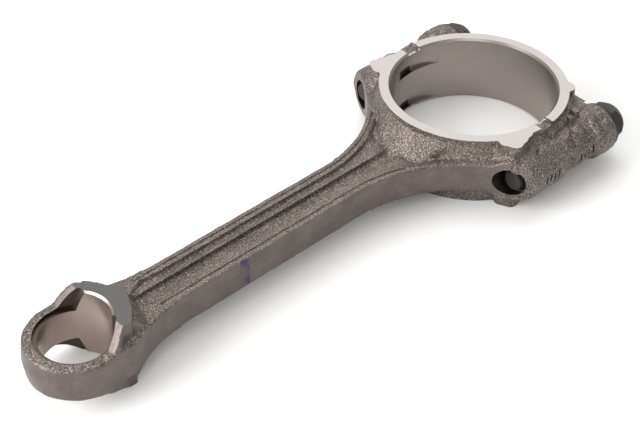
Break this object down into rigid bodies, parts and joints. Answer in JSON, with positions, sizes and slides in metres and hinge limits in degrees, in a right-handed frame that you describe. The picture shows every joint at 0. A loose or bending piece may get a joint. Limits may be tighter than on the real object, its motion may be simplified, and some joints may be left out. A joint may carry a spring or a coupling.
{
  "type": "connecting rod",
  "caption": "I-section engine connecting rod with a bolted split big-end cap, bushed stepped small end and hex flange cap bolts.",
  "frame": {"origin": "centre of the big-end bore at mid thickness", "axes": "+Z along both bores, +X from the small end towards the cap, +Y across the bolts"},
  "size_m": [0.2191, 0.0868, 0.0246],
  "materials": {
    "forged_steel": "shot-blasted forging, rough grain on the faces and smoother trimmed flanks, with bright ground thrust faces and a honed bore",
    "forged_steel_cap": "shot-blasted forging, coarser than the rod, with bright ground thrust faces and a honed bore",
    "bush_lining": "fine-bored steel-backed lining, warm grey",
    "black_bolt_steel": "heat-treated bolt steel, black oxide and oil"
  },
  "bodies": {
    "rod": {"rod_body": "forged_steel", "small_end_bush": "bush_lining"},
    "cap": {"bearing_cap": "forged_steel_cap"},
    "near_bolt": {"cap_bolt_near": "black_bolt_steel"},
    "far_bolt": {"cap_bolt_far": "black_bolt_steel"}
  },
  "joints": [
    {"name": "near_bolt_turn", "type": "hinge", "parent": "cap", "child": "near_bolt", "pos_m": [0.0255, -0.0344, 0], "axis": [1, 0, 0], "range_deg": [0, 16920]},
    {"name": "far_bolt_turn", "type": "hinge", "parent": "cap", "child": "far_bolt", "pos_m": [0.0255, 0.0344, 0], "axis": [1, 0, 0], "range_deg": [0, 16920]},
    {"name": "cap_draw", "type": "slide", "parent": "rod", "child": "cap", "axis": [1, 0, 0], "range_m": [0, 0.047]}
  ],
  "couplings": [
    {"joint": "near_bolt_turn", "follows": "cap_draw", "rad_per_m": 6283.2},
    {"joint": "far_bolt_turn", "follows": "cap_draw", "rad_per_m": 6283.2}
  ]
}
